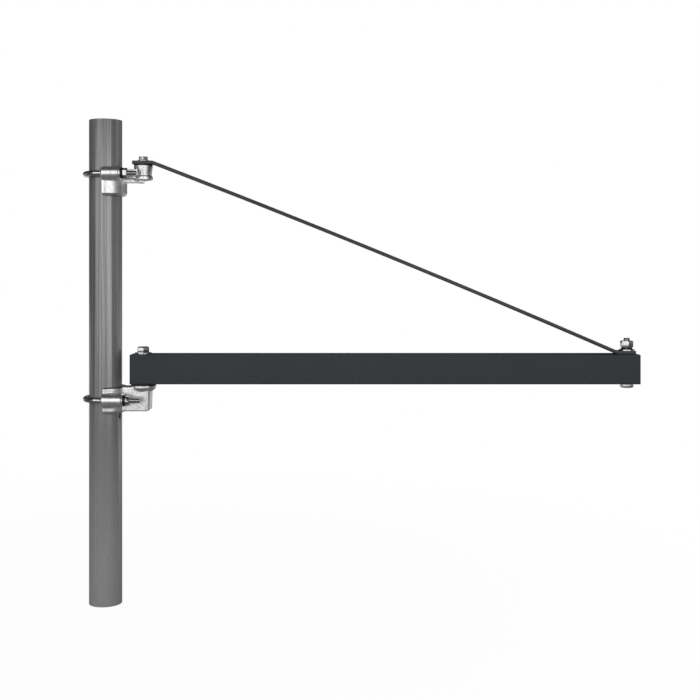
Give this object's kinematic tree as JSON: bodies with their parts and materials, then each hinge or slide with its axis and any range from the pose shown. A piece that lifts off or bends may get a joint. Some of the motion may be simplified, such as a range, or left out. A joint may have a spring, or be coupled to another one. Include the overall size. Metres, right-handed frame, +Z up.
{
  "type": "clamp-on scaffold jib crane",
  "caption": "Small swivel jib on a scaffold tube: a square arm held up by a flat-bar stay, both pivoting on cast brackets clamped round the mast.",
  "frame": {"origin": "centre of the mast's bottom end", "axes": "+Z up the mast, +X along the jib arm at rest"},
  "size_m": [0.8225, 0.078, 0.716],
  "materials": {
    "mast_steel": "rolled and weathered",
    "bracket_zinc": "bright zinc plated casting",
    "bolt_zinc": "bright zinc plated",
    "washer_dark": "blackened",
    "bearing_plastic": "matte",
    "arm_paint": "satin powder coat",
    "stay_paint": "satin powder coat",
    "cap_plastic": "matte"
  },
  "bodies": {
    "mast": {"mast_tube": "mast_steel", "lower_bracket": "bracket_zinc", "lower_u_bolt": "bolt_zinc", "lower_front_washer": "washer_dark", "lower_front_nut": "bolt_zinc", "lower_back_washer": "washer_dark", "lower_back_nut": "bolt_zinc", "pivot_bolt": "bolt_zinc", "bearing_washer": "bearing_plastic", "pivot_washer": "bolt_zinc", "pivot_nut": "bolt_zinc", "upper_bracket": "bracket_zinc", "upper_u_bolt": "bolt_zinc", "upper_front_washer": "washer_dark", "upper_front_nut": "bolt_zinc", "upper_back_washer": "washer_dark", "upper_back_nut": "bolt_zinc", "stay_pivot_bolt": "bolt_zinc", "stay_pivot_washer": "bolt_zinc", "stay_bearing_washer": "bearing_plastic", "stay_pivot_nut": "bolt_zinc"},
    "jib": {"jib_arm": "arm_paint", "rear_cap": "cap_plastic", "tip_cap": "cap_plastic", "stay_bar": "stay_paint", "tip_bolt": "bolt_zinc", "tip_washer": "bolt_zinc", "tip_spring_washer": "washer_dark", "tip_nut": "bolt_zinc"}
  },
  "joints": [
    {"name": "swing", "type": "hinge", "parent": "mast", "child": "jib", "pos_m": [0.056, 0, 0.326], "axis": [0, 0, 1], "range_deg": [-102, 102]}
  ]
}
